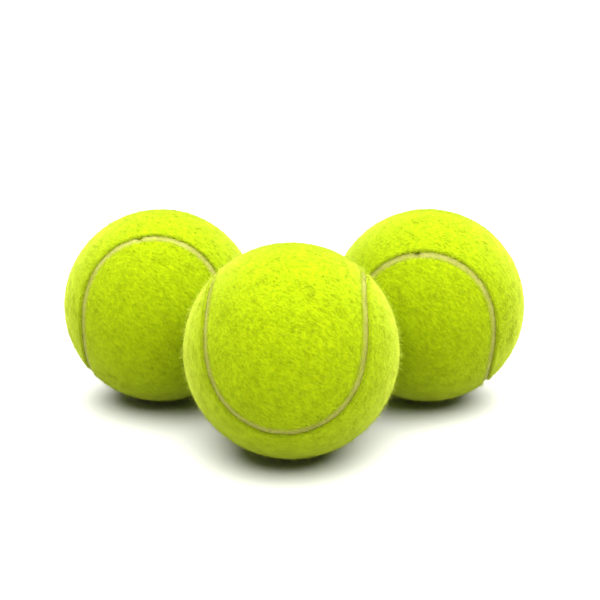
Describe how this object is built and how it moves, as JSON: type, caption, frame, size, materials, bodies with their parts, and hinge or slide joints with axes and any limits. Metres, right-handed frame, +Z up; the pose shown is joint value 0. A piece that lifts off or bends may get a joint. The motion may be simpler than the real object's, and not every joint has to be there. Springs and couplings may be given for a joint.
{
  "type": "tennis ball set",
  "caption": "Loose pressurised tennis balls in optic-yellow felt with a curved rubber seam, standing in a triangle on a flat surface.",
  "frame": {"origin": "on the floor, under the middle of the set's outline: halfway between the front ball's centre and the line through the rear balls' centres", "axes": "+Z up from the floor, -Y towards the front ball, +X from the left ball to the right ball"},
  "size_m": [0.1592, 0.116, 0.067],
  "materials": {
    "felt": "woolly needled felt, optic yellow, with a fine raised nap",
    "seam_rubber": "matt, cream-grey vulcanised rubber, slightly uneven",
    "rubber_cement": "dull dried rubber cement",
    "core_rubber": "matt moulded black rubber"
  },
  "bodies": {
    "front_ball": {"front_felt_panel_a": "felt", "front_felt_panel_b": "felt", "front_seam_rubber": "seam_rubber", "front_cement_coat": "rubber_cement", "front_core_cup_a": "core_rubber", "front_core_cup_b": "core_rubber", "front_core_joint": "rubber_cement"},
    "left_ball": {"left_felt_panel_a": "felt", "left_felt_panel_b": "felt", "left_seam_rubber": "seam_rubber", "left_cement_coat": "rubber_cement", "left_core_cup_a": "core_rubber", "left_core_cup_b": "core_rubber", "left_core_joint": "rubber_cement"},
    "right_ball": {"right_felt_panel_a": "felt", "right_felt_panel_b": "felt", "right_seam_rubber": "seam_rubber", "right_cement_coat": "rubber_cement", "right_core_cup_a": "core_rubber", "right_core_cup_b": "core_rubber", "right_core_joint": "rubber_cement"}
  },
  "joints": [
    {"name": "left_ball_roll", "type": "slide", "parent": "front_ball", "child": "left_ball", "axis": [-0.685, 0.7285, 0], "range_m": [0, 0.067]},
    {"name": "right_ball_roll", "type": "slide", "parent": "front_ball", "child": "right_ball", "axis": [0.685, 0.7285, 0], "range_m": [0, 0.067]}
  ]
}
